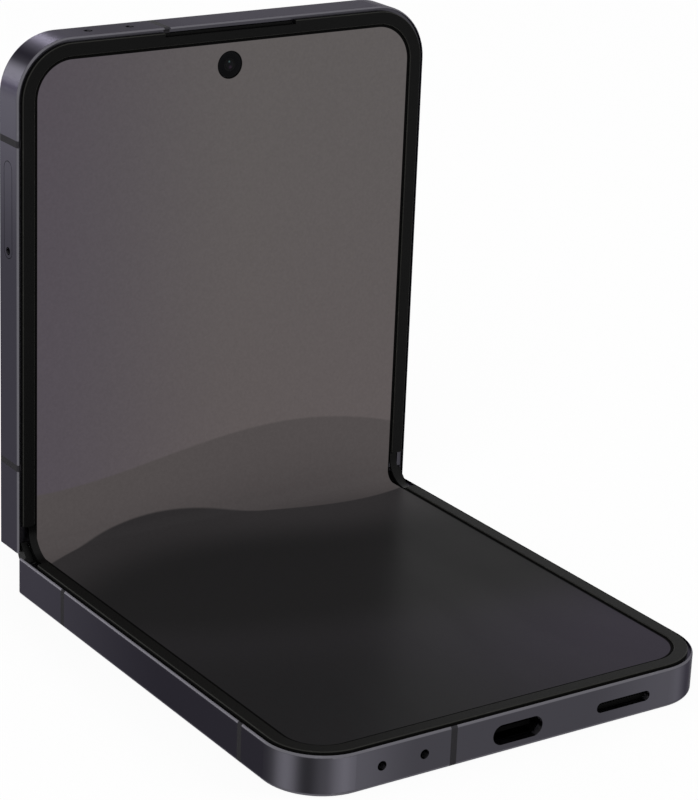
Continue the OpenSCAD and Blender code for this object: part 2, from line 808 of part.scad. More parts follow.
module card_reader() {
    color("#b0b2b6") in_upper() {
        inner_l = tray_l - 1.5;
        difference() {
            slab(-hw + wall_n + 0.3, -hw + tray_depth + 1.6, tray_u - inner_l / 2 - 0.35,
                tray_u + inner_l / 2 + 0.35, upper_board_z + board_t, zf(side_d) + tray_bed / 2 + 0.5);
            slab(-hw, -hw + tray_depth + 1.2, tray_u - inner_l / 2 - slide_gap,
                tray_u + inner_l / 2 + slide_gap, zf(side_d) - tray_bed / 2 - slide_gap,
                zf(side_d) + tray_bed / 2 + slide_gap);
        }
    }
}
module key_switches() {
    color("#caa84a") in_upper() {
        x = hw - wall_n - key_flange - 0.1 - key_travel - 0.05;
        slab(board_x - 0.3, x, power_u - power_l / 2, volume_u + volume_l / 2,
            upper_board_z + board_t, zf(side_d) + 0.9);
    }
}
module top_microphones() {
    color("#c9a94f") in_upper() for (x = mic_x)
        slab(-x - 1.7, -x + 1.7, half_l - wall_n - 3.1, half_l - wall_n - 0.3,
            upper_board_z + board_t, zf(side_d) + 0.9);
}
module upper_screws() {
    color("#b4b6ba") in_upper() hinge_screws();
}

// Tray: stadium head in the side wall, with a flat bed that holds the cards
module card_tray() {
    color("#45454c") in_upper() difference() {
        inner_l = tray_l - 1.5;
        union() {
            side_bar(-hw, -hw + wall_n, tray_u, side_d, tray_l, tray_h);
            slab(-hw + wall_n - 0.1, -hw + tray_depth, tray_u - inner_l / 2, tray_u + inner_l / 2,
                zf(side_d) - tray_bed / 2, zf(side_d) + tray_bed / 2);
        }
        slab(-hw + wall_n + 1, -hw + tray_depth - 1, tray_u - inner_l / 2 + 1.2,
            tray_u + inner_l / 2 - 1.2, zf(side_d) - 0.15, zf(side_d) + 2);
        slab(-hw + wall_n + 2, -hw + tray_depth - 2, tray_u - inner_l / 2 + 2.2,
            tray_u + inner_l / 2 - 2.2, zf(side_d) - 2, zf(side_d));
        rod_x(-hw - 1, -hw + wall_n + 1, tray_u - tray_l / 2 + 1.15, zf(side_d), eject_d / 2);
    }
}
module side_key(u, l) {
    side_bar(hw - wall_n - 0.1, hw + key_out, u, side_d, l, key_h);
    slab(hw - wall_n - 0.05 - key_flange, hw - wall_n - 0.05, u - l / 2 - 0.6, u + l / 2 + 0.6,
        zf(side_d) - key_h / 2, zf(side_d) + key_h / 2);
}
module volume_key() {
    color("#4a4a51") in_upper() side_key(volume_u, volume_l);
}
module power_key() {
    color("#4a4a51") in_upper() side_key(power_u, power_l);
}

lower_frame();
lower_back_cover();
lower_rim();
lower_antenna_bands();
lower_display();
lower_support_plate();
lower_wing_plate();
lower_rotators();
lower_battery();
sub_board();
usb_shell();
usb_tongue();
loudspeaker();
speaker_mesh();
microphones();
vibration_motor();
charging_coil();
lower_screws();
spine_cover();
spine_end_caps();
hinge_brackets();
disc_springs();
display_fold();
fold_borders();
flex_cables();
lower_sync_arms();
lower_hinge_shafts();
lower_idlers();
upper_sync_arms();
upper_hinge_shafts();
upper_idlers();
upper_frame();
cover_glass();
cover_display();
upper_rim();
upper_antenna_bands();
upper_display();
upper_support_plate();
upper_wing_plate();
upper_rotators();
upper_battery();
main_board();
board_shields();
earpiece();
earpiece_mesh();
front_camera();
main_camera();
wide_camera();
camera_rings();
camera_windows();
flash_lens();
card_reader();
key_switches();
top_microphones();
upper_screws();
card_tray();
volume_key();
power_key();
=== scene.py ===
import math
import bpy
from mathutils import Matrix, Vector


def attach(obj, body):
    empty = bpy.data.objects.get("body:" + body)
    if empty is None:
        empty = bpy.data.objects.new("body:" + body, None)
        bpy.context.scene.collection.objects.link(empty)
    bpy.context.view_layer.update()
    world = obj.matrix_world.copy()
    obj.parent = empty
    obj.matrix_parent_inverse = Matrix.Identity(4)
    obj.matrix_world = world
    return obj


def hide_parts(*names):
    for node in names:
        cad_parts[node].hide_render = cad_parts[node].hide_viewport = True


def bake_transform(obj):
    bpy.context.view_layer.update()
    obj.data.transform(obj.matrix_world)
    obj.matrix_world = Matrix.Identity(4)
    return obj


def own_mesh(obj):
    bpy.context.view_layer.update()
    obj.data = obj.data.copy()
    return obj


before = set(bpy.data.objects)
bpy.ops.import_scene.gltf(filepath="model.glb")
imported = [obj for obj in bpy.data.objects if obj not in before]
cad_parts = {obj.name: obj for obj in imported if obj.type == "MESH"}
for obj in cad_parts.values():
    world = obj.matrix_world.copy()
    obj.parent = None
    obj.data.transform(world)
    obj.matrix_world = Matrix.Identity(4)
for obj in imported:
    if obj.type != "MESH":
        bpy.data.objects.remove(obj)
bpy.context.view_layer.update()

mm = 0.001
perMetre = 1000.0  # millimetres in a metre, for sums inside the materials
print("frame loaded")

# Where the fold axis runs, in millimetres, and how far it stands off both screens
phone = {"axisY": 41.7, "axisZ": 6.9, "lift": 0.4}


# Points on a half: u runs from the fold to the free end, depth goes down from the screen
def lowerPoint(x, u, depth):
    return Vector((x, phone["axisY"] - u, phone["axisZ"] - phone["lift"] - depth)) * mm


def upperPoint(x, u, depth):
    return Vector((x, phone["axisY"] + phone["lift"] + depth, phone["axisZ"] + u)) * mm


# Camera fitted to the photograph's edges, in millimetres and degrees
view = {
    "location": (-228.07, -327.71, 183.47),
    "angles": (70.187, -2.044, -33.137),
    "lens": 125.9,
    "sensor": 36,
    "shift": (0.0322, 0.0032),
    "clip": (0.01, 10),  # metres
}
cameraData = bpy.data.cameras.new("photoCamera")
cameraData.lens = view["lens"]
cameraData.sensor_width = view["sensor"]
cameraData.sensor_fit = "AUTO"
cameraData.shift_x, cameraData.shift_y = view["shift"]
cameraData.clip_start, cameraData.clip_end = view["clip"]
camera = bpy.data.objects.new("photoCamera", cameraData)
camera.location = Vector(view["location"]) * mm
camera.rotation_euler = [math.radians(a) for a in view["angles"]]
bpy.context.scene.collection.objects.link(camera)
bpy.context.scene.camera = camera
print("camera placed")

nodeGrid = {"columns": 14, "width": 190, "height": 240}  # how nodes are set out in the editor


# One shader node: values are numbers, colours or sockets to link, props its own settings
def put(tree, kind, values=None, **props):
    node = tree.nodes.new("ShaderNode" + kind)
    row, column = divmod(len(tree.nodes), nodeGrid["columns"])
    node.location = (nodeGrid["width"] * column, -nodeGrid["height"] * row)
    for key, value in props.items():
        setattr(node, key, value)
    for key, value in (values or {}).items():
        if isinstance(value, bpy.types.NodeSocket):
            tree.links.new(value, node.inputs[key])
        else:
            node.inputs[key].default_value = value
    return node


def calc(tree, operation, *values):
    node = put(tree, "Math", {i: v for i, v in enumerate(values)}, operation=operation)
    return node.outputs[0]


# Dot product or distance of two vectors
def measure(tree, operation, one, two):
    return put(tree, "VectorMath", {0: one, 1: two}, operation=operation).outputs["Value"]


def scaleColour(tree, colour, tone):
    return put(tree, "VectorMath", {0: colour, "Scale": tone}, operation="SCALE").outputs[0]


# Sockets 6, 7 and 2 are the Mix node's own for colours
def mixColour(tree, share, one, two):
    return put(tree, "Mix", {0: share, 6: one, 7: two}, data_type="RGBA").outputs[2]


# From 0 where value is at low to 1 where it is at high, with soft ends
def fade(tree, value, low, high):
    ends = {"Value": value, "From Min": low, "From Max": high}
    return put(tree, "MapRange", ends, interpolation_type="SMOOTHSTEP").outputs[0]


# From low to high as share goes from 0 to 1
def between(tree, share, low, high):
    return put(tree, "MapRange", {"Value": share, "To Min": low, "To Max": high}).outputs[0]


# inputs gives each input's first value, where three numbers make it a vector
def startGroup(name, inputs, outputs):
    tree = bpy.data.node_groups.new(name, "ShaderNodeTree")
    for label, value in inputs.items():
        kind = "NodeSocketVector" if isinstance(value, tuple) else "NodeSocketFloat"
        socket = tree.interface.new_socket(name=label, in_out="INPUT", socket_type=kind)
        socket.default_value = value
    for label in outputs:
        tree.interface.new_socket(name=label, in_out="OUTPUT", socket_type="NodeSocketFloat")
    return tree, tree.nodes.new("NodeGroupInput").outputs, tree.nodes.new("NodeGroupOutput")


def finishGroup(tree, end, **results):
    for label, socket in results.items():
        tree.links.new(socket, end.inputs[label])
    return tree


def useGroup(tree, group, **values):
    return put(tree, "Group", values, node_tree=group).outputs


# Blasted or moulded grain: fine bumps with a slow drift of tone under them
grainNoise = {
    "fine": {"Detail": 3.0, "Roughness": 0.6},
    "range": (0.3, 0.7),
    "slow": {"Scale": 24.0, "Detail": 2.0, "Roughness": 0.5},
}


def buildGrain():
    tree, given, end = startGroup(
        "fineGrain", {"Size": 0.2, "Low": 0.3, "High": 0.4, "Drift": 0.05}, ["Roughness", "Height", "Tone"])
    place = put(tree, "TexCoord").outputs["Object"]
    density = calc(tree, "DIVIDE", perMetre, given["Size"])
    grain = put(tree, "TexNoise", dict(grainNoise["fine"], Vector=place, Scale=density)).outputs["Fac"]
    slow = put(tree, "TexNoise", dict(grainNoise["slow"], Vector=place)).outputs["Fac"]
    low, high = grainNoise["range"]
    share = put(tree, "MapRange", {"Value": grain, "From Min": low, "From Max": high}).outputs[0]
    swing = calc(tree, "MULTIPLY", calc(tree, "SUBTRACT", slow, 0.5), given["Drift"])
    return finishGroup(tree, end, Roughness=between(tree, share, given["Low"], given["High"]), Height=grain,
                       Tone=calc(tree, "MULTIPLY_ADD", swing, 2.0, 1.0))


# Mask of the edges that lean between a half's sides and its faces, where the metal is polished and where a
# highlight is painted into the colour
edgeLean = {"rise": (0.10, 0.38), "fall": (0.99, 0.93)}


def buildChamfer():
    tree, given, end = startGroup("cutEdge", {"Thickness": (0.0, 0.0, 1.0)}, ["Mask"])
    normal = put(tree, "TexCoord").outputs["Normal"]
    lean = calc(tree, "ABSOLUTE", measure(tree, "DOT_PRODUCT", normal, given["Thickness"]))
    rising, falling = fade(tree, lean, *edgeLean["rise"]), fade(tree, lean, *edgeLean["fall"])
    return finishGroup(tree, end, Mask=calc(tree, "MULTIPLY", rising, falling))


# Handling wear: paler patches along the polished edges, where a hand rubs them
wearNoise = {"patch": {"Detail": 5.0, "Roughness": 0.7}, "range": (0.46, 0.66)}


def buildWear():
    tree, given, end = startGroup("handWear", {"Edge": 0.0, "Size": 3.0, "Amount": 0.3}, ["Mask"])
    place = put(tree, "TexCoord").outputs["Object"]
    density = calc(tree, "DIVIDE", perMetre, given["Size"])
    patch = put(tree, "TexNoise", dict(wearNoise["patch"], Vector=place, Scale=density)).outputs["Fac"]
    worn = calc(tree, "MULTIPLY", given["Edge"], fade(tree, patch, *wearNoise["range"]))
    return finishGroup(tree, end, Mask=calc(tree, "MULTIPLY", worn, given["Amount"]))


# Painted sheen or painted shade on faces that look one way, a gain on the colour that stands in for a studio
# reflection; across and its two places limit it along a face
def buildPaintedSheen():
    tree, given, end = startGroup(
        "paintedSheenAndShade",
        {"Facing": (0.0, 0.0, 1.0), "Spread": 0.3, "Across": (0.0, 0.0, 0.0), "Start": -2.0, "Full": -1.0,
         "Gain": 1.0},
        ["Tone"])
    place = put(tree, "TexCoord").outputs
    away = measure(tree, "DISTANCE", place["Normal"], given["Facing"])
    along = measure(tree, "DOT_PRODUCT", place["Object"], given["Across"])
    reach = fade(tree, calc(tree, "MULTIPLY", along, perMetre), given["Start"], given["Full"])
    mask = calc(tree, "MULTIPLY", reach, fade(tree, away, given["Spread"], 0.0))
    return finishGroup(tree, end, Tone=between(tree, mask, 1.0, given["Gain"]))


# Faint wipe marks that only show as changes of gloss
wipeNoise = {
    "stretch": {"Rotation": (0.5, 0.7, 0.4), "Scale": (60.0, 16.0, 60.0)},
    "wipe": {"Scale": 1.0, "Detail": 5.0, "Distortion": 1.2},
    "range": (0.45, 0.68),
}


def buildSmear():
    tree, given, end = startGroup("wipeMarks", {"Low": 0.04, "High": 0.12}, ["Roughness"])
    place = put(tree, "TexCoord").outputs["Object"]
    turned = put(tree, "Mapping", dict(wipeNoise["stretch"], Vector=place)).outputs[0]
    wipe = put(tree, "TexNoise", dict(wipeNoise["wipe"], Vector=turned)).outputs["Fac"]
    mask = fade(tree, wipe, *wipeNoise["range"])
    return finishGroup(tree, end, Roughness=between(tree, mask, given["Low"], given["High"]))


# One layer of rolling ground on the lit picture: mask below its skyline, glow along it
def buildDune():
    tree, given, end = startGroup(
        "duneLayer",
        {"Across": 0.0, "Along": 0.0, "Height": 0.0, "Swell": 6.0, "Length": 60.0, "Phase": 0.0, "Slope": 0.0,
         "Soft": 0.6, "Depth": 30.0},
        ["Mask", "Glow"])
    share = calc(tree, "DIVIDE", given["Across"], given["Length"])
    turn = calc(tree, "MULTIPLY_ADD", share, 2 * math.pi, given["Phase"])
    wave = calc(tree, "MULTIPLY_ADD", calc(tree, "SINE", turn), given["Swell"], given["Height"])
    skyline = calc(tree, "MULTIPLY_ADD", given["Across"], given["Slope"], wave)
    below = calc(tree, "SUBTRACT", skyline, given["Along"])
    ends = {"Value": below, "From Min": 0.0, "From Max": given["Depth"], "To Min": 1.0, "To Max": 0.0}
    glow = put(tree, "MapRange", ends, interpolation_type="SMOOTHERSTEP").outputs[0]
    return finishGroup(tree, end, Mask=fade(tree, below, 0.0, given["Soft"]), Glow=glow)


grainGroup = buildGrain()
chamferGroup = buildChamfer()
wearGroup = buildWear()
paintedSheenGroup = buildPaintedSheen()
smearGroup = buildSmear()
duneGroup = buildDune()
print("shader groups built")


def startMaterial(name):
    material = bpy.data.materials.new(name)
    material.use_nodes = True
    tree = material.node_tree
    return material, tree, tree.nodes["Principled BSDF"]


def join(tree, source, shader, name):
    tree.links.new(source, shader.inputs[name])


def addGrain(tree, look):
    low, high = look["rough"]
    return useGroup(tree, grainGroup, Size=look["grain"], Low=low, High=high, Drift=look["drift"])


def addWipes(tree, look):
    low, high = look["rough"]
    return useGroup(tree, smearGroup, Low=low, High=high)["Roughness"]


def addBump(tree, shader, height, look):
    values = {"Height": height, "Strength": look["bump"], "Distance": look["bumpDepth"] * mm}
    join(tree, put(tree, "Bump", values).outputs[0], shader, "Normal")


# Mask of the rounded edges, and the colour that pales on them: on the metal partly its polish, on every
# finish a painted highlight, and paler still where they are worn
def paleEdgesWithHighlight(tree, look, thickness):
    cut = useGroup(tree, chamferGroup, Thickness=thickness)["Mask"]
    worn = useGroup(tree, wearGroup, Edge=cut, Size=look["wearSize"], Amount=look["wear"])["Mask"]
    wearAndHighlight = calc(tree, "MAXIMUM", calc(tree, "MULTIPLY", cut, look["cut"]), worn)
    return cut, mixColour(tree, wearAndHighlight, look["colour"] + (1,), look["edge"] + (1,))


# Metal with blasted faces and the painted sheens and painted shade of its look; thickness is the direction
# its rounded edges lean from
def blastedMetal(name, look, thickness=(0, 0, 1)):
    material, tree, shader = startMaterial(name)
    grain = addGrain(tree, look)
    cut, colour = paleEdgesWithHighlight(tree, look, thickness)
    tone = grain["Tone"]
    # Painted sheens and painted shade scale the grain's tone
    for paintedSheen in look["paintedSheens"]:
        tone = calc(tree, "MULTIPLY", tone, useGroup(tree, paintedSheenGroup, **paintedSheen)["Tone"])
    join(tree, scaleColour(tree, colour, tone), shader, "Base Color")
    join(tree, between(tree, cut, grain["Roughness"], look["cutRough"]), shader, "Roughness")
    shader.inputs["Metallic"].default_value = look["metallic"]
    shader.inputs["Specular IOR Level"].default_value = look["specular"]
    shader.inputs["Specular Tint"].default_value = look["tint"] + (1,)
    addBump(tree, shader, grain["Height"], look)
    return material


# Plastic with moulded grain, and edges treated as those of the metal: a painted highlight along them, paler
# where worn
def mouldedPlastic(name, look, thickness=(0, 0, 1)):
    material, tree, shader = startMaterial(name)
    grain = addGrain(tree, look)
    cut, colour = paleEdgesWithHighlight(tree, look, thickness)
    join(tree, scaleColour(tree, colour, grain["Tone"]), shader, "Base Color")
    join(tree, grain["Roughness"], shader, "Roughness")
    shader.inputs["Specular IOR Level"].default_value = look["specular"]
    addBump(tree, shader, grain["Height"], look)
    return material


# Smooth glass, whose wipe marks show in its gloss
def polishedGlass(name, look):
    material, tree, shader = startMaterial(name)
    tone = useGroup(tree, grainGroup, Drift=look["drift"])["Tone"]
    join(tree, scaleColour(tree, look["colour"], tone), shader, "Base Color")
    join(tree, addWipes(tree, look), shader, "Roughness")
    shader.inputs["Specular IOR Level"].default_value = look["specular"]
    shader.inputs["Coat Weight"].default_value = look["coat"]
    shader.inputs["Coat Roughness"].default_value = look["coatRough"]
    return material


# Sizes of grain and wear and the depth of bumps are in millimetres
frameLook = {
    "colour": (0.056, 0.054, 0.064),
    # The pale edge colour is partly the polished edge's own and partly a painted highlight
    "edge": (0.17, 0.165, 0.185),
    "tint": (0.45, 0.44, 0.47),
    "grain": 0.12,
    "rough": (0.31, 0.36),
    "drift": 0.02,
    "wear": 0.9,
    "wearSize": 2.5,
    "cut": 0.78,
    "cutRough": 0.5,
    "bump": 0.05,
    "bumpDepth": 0.01,
    "metallic": 1.0,
    "specular": 0.3,
    "paintedSheens": [],
}
# Painted sheens and painted shade on the edge walls, standing in for studio reflections: turn is how far
# round a wall faces, from the left towards a half's free end,
# Spread how soft the sheen is, Gain above 1 paints a highlight and below 1 paints shade. Start and Full are
# places along Across
lowerPaintedSheens = [
    {"turn": 27, "Spread": 0.30, "Gain": 2.2},
    {"turn": 47, "Spread": 0.27, "Gain": 0.45},
    {"turn": 76, "Spread": 0.27, "Gain": 2.1},
    {"turn": 103, "Spread": 0.23, "Gain": 1.6},
    {"turn": 127, "Spread": 0.28, "Gain": 0.65},
    {"turn": 0, "Spread": 0.35, "Gain": 0.5, "Across": (0.0, 1.0, 0.0), "Start": 38.0, "Full": -6.0},
    {"turn": 90, "Spread": 0.30, "Gain": 1.6, "Across": (1.0, 0.0, 0.0), "Start": -17.0, "Full": -29.0},
    {"turn": 90, "Spread": 0.30, "Gain": 1.45, "Across": (1.0, 0.0, 0.0), "Start": 12.0, "Full": 29.0},
]
upperPaintedSheens = [
    {"turn": 13, "Spread": 0.15, "Gain": 0.42},
    {"turn": 29, "Spread": 0.19, "Gain": 3.2},
    {"turn": 46, "Spread": 0.20, "Gain": 0.45},
    {"turn": 71, "Spread": 0.38, "Gain": 1.85},
    {"turn": 0, "Spread": 0.14, "Gain": 2.0, "Across": (0.0, 0.0, 1.0), "Start": 53.0, "Full": 82.0},
    {"turn": 90, "Spread": 0.20, "Gain": 0.6, "Across": (1.0, 0.0, 0.0), "Start": -3.0, "Full": -18.0},
    {"turn": 90, "Spread": 0.20, "Gain": 1.6, "Across": (1.0, 0.0, 0.0), "Start": -21.0, "Full": -28.0},
]


# Aims each painted sheen; freeEnd is the way that the free end of the half points
def aimPaintedSheens(paintedSheens, freeEnd):
    aimed = []
    for paintedSheen in paintedSheens:
        values = dict(paintedSheen)
        turn = math.radians(values.pop("turn"))
        side, end = math.cos(turn), math.sin(turn)
        values["Facing"] = (-side, freeEnd[1] * end, freeEnd[2] * end)
        aimed.append(values)
    return aimed


# Ways from a half's screen to its back, or the other way round
lowerThickness = (0, 0, 1)
upperThickness = (0, 1, 0)
lowerLook = dict(frameLook, paintedSheens=aimPaintedSheens(lowerPaintedSheens, (0.0, -1.0, 0.0)))
metalLowerPaintedSheens = blastedMetal("graphiteLowerPaintedSheens", lowerLook, lowerThickness)
upperLook = dict(frameLook, paintedSheens=aimPaintedSheens(upperPaintedSheens, (0.0, 0.0, 1.0)))
metalUpperPaintedSheens = blastedMetal("graphiteUpperPaintedSheens", upperLook, upperThickness)
spineLook = dict(frameLook, colour=(0.044, 0.042, 0.050), rough=(0.12, 0.16), bump=0.02)
metalSpine = blastedMetal("graphiteSpine", spineLook, (1, 0, 0))
steelLook = dict(frameLook, colour=(0.50, 0.51, 0.53), edge=(0.7, 0.7, 0.72), rough=(0.25, 0.38),
                 tint=(1.0, 1.0, 1.0))
steelSheet = blastedMetal("steelSheet", steelLook)
groundLook = dict(steelLook, colour=(0.10, 0.10, 0.11), edge=(0.16, 0.16, 0.17), rough=(0.34, 0.46),
                  tint=(0.6, 0.6, 0.6))
groundSteel = blastedMetal("groundSteel", groundLook)
# The port's steel shell is coloured near black: painted shade for the dark inside of the port
shadedPortLook = dict(steelLook, colour=(0.008, 0.008, 0.009), edge=(0.014, 0.014, 0.014), tint=(0.1, 0.1, 0.1))
portSteelPaintedShade = blastedMetal("portSteelPaintedShade", shadedPortLook)
goldLook = dict(steelLook, colour=(0.72, 0.52, 0.22), edge=(0.9, 0.72, 0.38))
goldPlate = blastedMetal("goldPlate", goldLook)
copperLook = dict(steelLook, colour=(0.66, 0.33, 0.19), edge=(0.85, 0.5, 0.32))
copperCoil = blastedMetal("copperCoil", copperLook)

plasticLook = {
    "colour": (0.003, 0.003, 0.003),
    # On the plastics the pale edge colour is a painted highlight along the bevels, not a colour of their own
    "edge": (0.030, 0.030, 0.027),
    "grain": 0.18,
    "rough": (0.48, 0.58),
    "drift": 0.05,
    "specular": 0.06,
    "bump": 0.08,
    "bumpDepth": 0.02,
    "cut": 0.6,
    "wear": 0.9,
    "wearSize": 1.5,
}
# The lower rim's colour is a shade paler than the upper rim's, though both are one plastic: painted light
rimLower = mouldedPlastic("rimLower", dict(plasticLook, colour=(0.0035, 0.0035, 0.0033)), lowerThickness)
rimUpper = mouldedPlastic("rimUpper", plasticLook, upperThickness)
bandLook = dict(plasticLook, colour=(0.023, 0.022, 0.0245), edge=(0.030, 0.029, 0.033), rough=(0.5, 0.56),
                specular=0.02)
bandLower = mouldedPlastic("bandLower", bandLook, lowerThickness)
bandUpper = mouldedPlastic("bandUpper", bandLook, upperThickness)
darkLook = dict(plasticLook, colour=(0.002, 0.002, 0.002), edge=(0.006, 0.006, 0.006), wear=0.4)
capPlastic = mouldedPlastic("capPlastic", dict(darkLook, rough=(0.35, 0.45)))
borderFilm = mouldedPlastic("borderFilm", dict(darkLook, rough=(0.3, 0.36), bump=0.02))
blackPlastic = mouldedPlastic("blackPlastic", darkLook)
portBlack = mouldedPlastic("portBlack", dict(darkLook, specular=0.01))
cellLook = dict(plasticLook, colour=(0.045, 0.046, 0.055), edge=(0.06, 0.06, 0.07), grain=0.4)
cellWrap = mouldedPlastic("cellWrap", cellLook)
boardLook = dict(plasticLook, colour=(0.012, 0.075, 0.04), edge=(0.05, 0.1, 0.06), rough=(0.3, 0.4),
                 specular=0.4)
boardGreen = mouldedPlastic("boardGreen", boardLook)
ribbonLook = dict(boardLook, colour=(0.32, 0.15, 0.04), edge=(0.4, 0.2, 0.06))
ribbonFilm = mouldedPlastic("ribbonFilm", ribbonLook)
barrelLook = dict(plasticLook, colour=(0.0035, 0.0035, 0.004), edge=(0.010, 0.010, 0.012), rough=(0.16, 0.24),
                  bump=0.01, specular=0.25)
lensBarrel = mouldedPlastic("lensBarrel", barrelLook, upperThickness)
maskLook = dict(barrelLook, rough=(0.3, 0.36), specular=0.015)
frontMask = mouldedPlastic("frontMask", maskLook, upperThickness)

# centre is the middle of the die, across and up, die half its width and dieEdge its soft edge
flashLook = {
    "colour": (0.56, 0.53, 0.46),
    "dieColour": (0.66, 0.50, 0.12),
    "centre": (4.0, 79.4),
    "die": 0.55,
    "dieEdge": 0.12,
    "grain": 0.2,
    "rough": (0.2, 0.3),
    "drift": 0.1,
    "bump": 0.1,
    "bumpDepth": 0.02,
    "specular": 0.3,
}


# Flash diffuser: a warm square die shows through the middle of the pale ribbed plastic
def flashDiffuser(name, look):
    material, tree, shader = startMaterial(name)
    grain = addGrain(tree, look)
    place = put(tree, "SeparateXYZ", {0: put(tree, "TexCoord").outputs["Object"]}).outputs
    away = []
    for axis, centre in zip("XZ", look["centre"]):
        away.append(calc(tree, "ABSOLUTE", calc(tree, "MULTIPLY_ADD", place[axis], perMetre, -centre)))
    die = fade(tree, calc(tree, "MAXIMUM", *away), look["die"] + look["dieEdge"], look["die"])
    colour = mixColour(tree, die, look["colour"] + (1,), look["dieColour"] + (1,))
    join(tree, colour, shader, "Base Color")
    join(tree, grain["Roughness"], shader, "Roughness")
    shader.inputs["Specular IOR Level"].default_value = look["specular"]
    addBump(tree, shader, grain["Height"], look)
    return material


flashPlastic = flashDiffuser("flashPlastic", flashLook)

glassLook = {
    "colour": (0.008, 0.008, 0.010),
    "rough": (0.05, 0.14),
    "drift": 0.2,
    "specular": 0.4,
    "coat": 0.2,
    "coatRough": 0.03,
}
coverGlass = polishedGlass("coverGlass", glassLook)
frostedLook = dict(glassLook, colour=(0.040, 0.039, 0.046), rough=(0.30, 0.40), coat=0.1)
frostedGlass = polishedGlass("frostedGlass", frostedLook)
windowLook = dict(glassLook, colour=(0.006, 0.007, 0.012), rough=(0.02, 0.06), coat=0.0)
lensGlass = polishedGlass("lensGlass", windowLook)

# Each painted glint: which way the glass leans there, how far it spreads, and its colour, a reflection
# painted into the lens's colour
lensLook = {
    "colour": (0.0055, 0.0055, 0.0065),
    "rough": (0.08, 0.14),
    "specular": 0.03,
    "paintedGlints": [
        {"lean": (-0.03, 0.0, 0.15), "spread": 0.07, "colour": (0.060, 0.095, 0.095)},
        {"lean": (0.04, 0.0, -0.12), "spread": 0.13, "colour": (0.022, 0.013, 0.024)},
    ],
}


# Coated lens: deep glass with painted reflections in its colour, teal above its middle and violet below it
def paintedGlintLens(name, look):
    material, tree, shader = startMaterial(name)
    normal = put(tree, "TexCoord").outputs["Normal"]
    sideways = put(tree, "VectorMath", {0: normal, 1: (1.0, 0.0, 1.0)}, operation="MULTIPLY").outputs[0]
    colour = look["colour"] + (1,)
    for paintedGlint in look["paintedGlints"]:
        share = fade(tree, measure(tree, "DISTANCE", sideways, paintedGlint["lean"]), paintedGlint["spread"], 0.0)
        colour = mixColour(tree, share, colour, paintedGlint["colour"] + (1,))
    join(tree, colour, shader, "Base Color")
    join(tree, addWipes(tree, look), shader, "Roughness")
    shader.inputs["Specular IOR Level"].default_value = look["specular"]
    return material


lensPaintedGlints = paintedGlintLens("lensPaintedGlints", lensLook)
print("finishes mixed")

# Lit picture: a dusk sky over soft dunes that roll on into the lower half. Places are in millimetres,
# across from the middle and along from the fold, up the standing half or below 0 on the other
picture = {
    "skyTop": (0.106, 0.096, 0.095, 1),
    "skyLow": (0.108, 0.092, 0.092, 1),
    "skyLeft": (0.082, 0.070, 0.084, 1),
    "skyRise": (-10.0, 80.0),
    "leftFade": (6.0, -40.0),
    "rightFade": (-14.0, 36.0),
    "dunes": [
        {"ridge": (0.080, 0.070, 0.070, 1), "foot": (0.022, 0.020, 0.021, 1),
         "shape": {"Height": 11.0, "Swell": 5.0, "Length": 118.0, "Phase": 0.6, "Slope": -0.10, "Soft": 0.5,
                   "Depth": 34.0}},
        {"ridge": (0.024, 0.022, 0.023, 1), "foot": (0.0100, 0.0096, 0.0100, 1),
         "shape": {"Height": -2.0, "Swell": 7.0, "Length": 96.0, "Phase": 2.7, "Slope": 0.16, "Soft": 0.5,
                   "Depth": 20.0}},
        {"ridge": (0.0150, 0.0140, 0.0155, 1), "foot": (0.0108, 0.0104, 0.0112, 1),
         "rightFoot": (0.0230, 0.0188, 0.0290, 1),
         "shape": {"Height": -34.0, "Swell": 6.0, "Length": 128.0, "Phase": 5.2, "Slope": -0.25, "Soft": 16.0,
                   "Depth": 34.0}},
    ],
    "litHalfWidth": 34.2,
    "litEnd": 79.95,
    "litCorner": 6.0,
    "litSoft": 0.02,
    "cameraHole": (0.0, 76.4, 2.27),
    "holeSoft": 0.05,
}


def paintPicture(tree, across, along):
    colour = mixColour(tree, fade(tree, along, *picture["skyRise"]), picture["skyLow"], picture["skyTop"])
    colour = mixColour(tree, fade(tree, across, *picture["leftFade"]), colour, picture["skyLeft"])
    for dune in picture["dunes"]:
        layer = useGroup(tree, duneGroup, Across=across, Along=along, **dune["shape"])
        foot = dune["foot"]
        if "rightFoot" in dune:
            foot = mixColour(tree, fade(tree, across, *picture["rightFade"]), foot, dune["rightFoot"])
        ground = mixColour(tree, layer["Glow"], foot, dune["ridge"])
        colour = mixColour(tree, layer["Mask"], colour, ground)
    return colour


def diagonal(tree, one, two):
    squares = calc(tree, "ADD", calc(tree, "POWER", one, 2.0), calc(tree, "POWER", two, 2.0))
    return calc(tree, "SQRT", squares)


# Rounded rectangle of live pixels, less the camera's hole
def litArea(tree, across, along):
    corner, soft = picture["litCorner"], picture["litSoft"]
    past = []
    for place, limit in ((across, picture["litHalfWidth"]), (along, picture["litEnd"])):
        beyond = calc(tree, "SUBTRACT", calc(tree, "ABSOLUTE", place), limit - corner)
        past.append(calc(tree, "MAXIMUM", beyond, 0.0))
    inside = fade(tree, diagonal(tree, *past), corner + soft, corner - soft)
    x, u, radius = picture["cameraHole"]
    soft = picture["holeSoft"]
    away = diagonal(tree, calc(tree, "SUBTRACT", across, x), calc(tree, "SUBTRACT", along, u))
    return calc(tree, "MULTIPLY", inside, fade(tree, away, radius - soft, radius + soft))


# gloss is the specular level of the lit part, and border that of the black edge round it
screenLook = {
    "base": (0.003, 0.003, 0.003, 1),
    "unlit": (0.0, 0.0, 0.0, 1),
    "glow": 1.0,
    "rough": (0.3, 0.38),
    "gloss": 0.016,
    "border": 0.002,
    "grain": 0.45,
    "speckle": 0.05,
}


